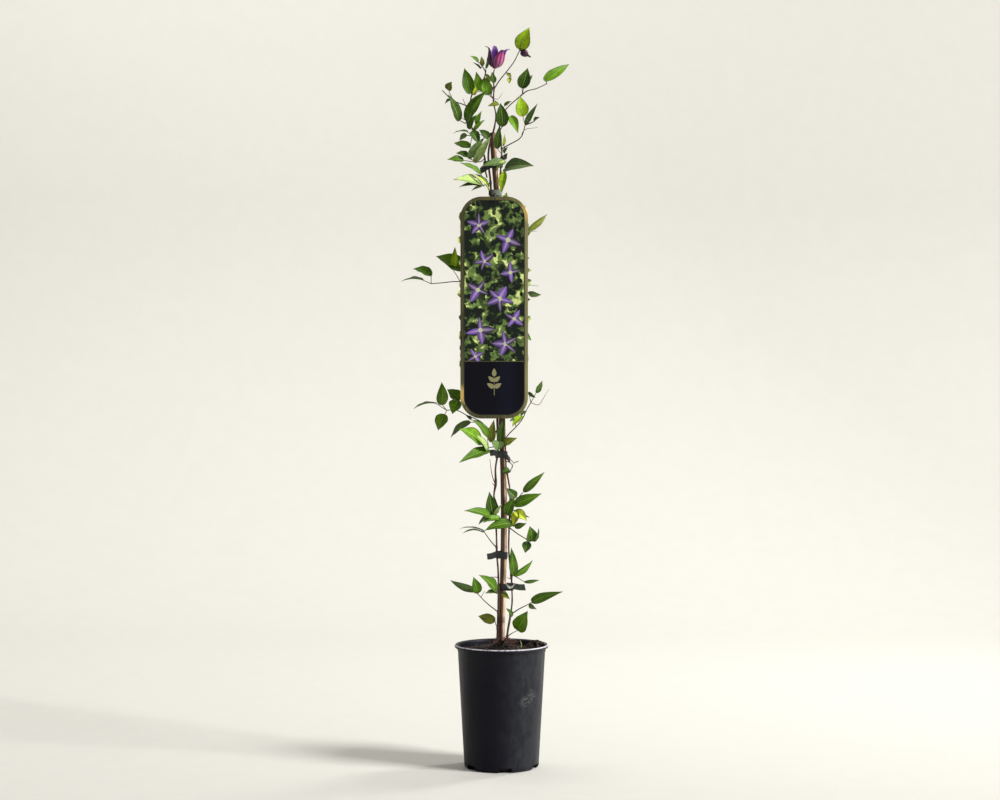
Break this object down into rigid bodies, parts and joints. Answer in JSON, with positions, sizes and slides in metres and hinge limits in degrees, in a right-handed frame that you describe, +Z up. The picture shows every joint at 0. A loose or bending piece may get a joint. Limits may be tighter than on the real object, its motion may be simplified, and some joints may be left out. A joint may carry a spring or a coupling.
{
  "type": "potted clematis on a cane",
  "caption": "Young clematis with woody stems, leafy shoots and a purple bell flower, tied to a bamboo cane in a tall black pot, with a large hanging label card.",
  "frame": {"origin": "middle of the pot's flat foot", "axes": "+Z up along the pot's axis, -Y towards the viewer of the label card, +X to the viewer's right"},
  "size_m": [0.2725, 0.1561, 1.1817],
  "materials": {
    "pot": "matt black moulded plastic with a soft grey sheen",
    "compost": "dark moist bark compost",
    "bamboo": "dry tan bamboo skin",
    "bark": "thin fibrous brown bark",
    "leaf": "soft satin green leaf",
    "tape": "black plastic tying tape",
    "label": "printed card with a satin film",
    "tepal": "soft violet petal",
    "stamens": "pale cream stamens",
    "bud": "dark purple bud"
  },
  "bodies": {
    "root": {"bud": "bud", "cane": "bamboo", "crown_centre": "leaf", "crown_dark": "leaf", "crown_far_right": "leaf", "crown_front": "leaf", "crown_left": "leaf", "crown_low_left": "leaf", "crown_mid_left": "leaf", "crown_right": "leaf", "crown_shoot": "leaf", "crown_side_left": "leaf", "crown_tie_right": "leaf", "crown_twig_left": "leaf", "crown_upper_left": "leaf", "crown_upper_mid": "leaf", "crown_young_tip": "leaf", "flower": "tepal", "flower_centre": "stamens", "label": "label", "label_tie": "tape", "pot": "pot", "shoot_back_five": "leaf", "shoot_back_four": "leaf", "shoot_back_one": "leaf", "shoot_back_three": "leaf", "shoot_back_two": "leaf", "shoot_beside_left": "leaf", "shoot_beside_right": "leaf", "shoot_edge_right": "leaf", "shoot_heart_left": "leaf", "shoot_heart_right": "leaf", "shoot_label_left": "leaf", "shoot_label_right": "leaf", "shoot_long_left": "leaf", "shoot_long_right": "leaf", "shoot_low_left": "leaf", "shoot_low_right": "leaf", "shoot_mid_left": "leaf", "shoot_mid_right": "leaf", "shoot_pair_left": "leaf", "shoot_pair_right": "leaf", "shoot_tendril": "leaf", "shoot_tips_right": "leaf", "shoot_under_label": "leaf", "shoot_under_left": "leaf", "soil": "compost", "stem_left": "bark", "stem_right": "bark", "stem_side": "bark", "tie_lower": "tape", "tie_middle": "tape", "tie_top": "tape", "tie_upper": "tape"}
  },
  "joints": []
}
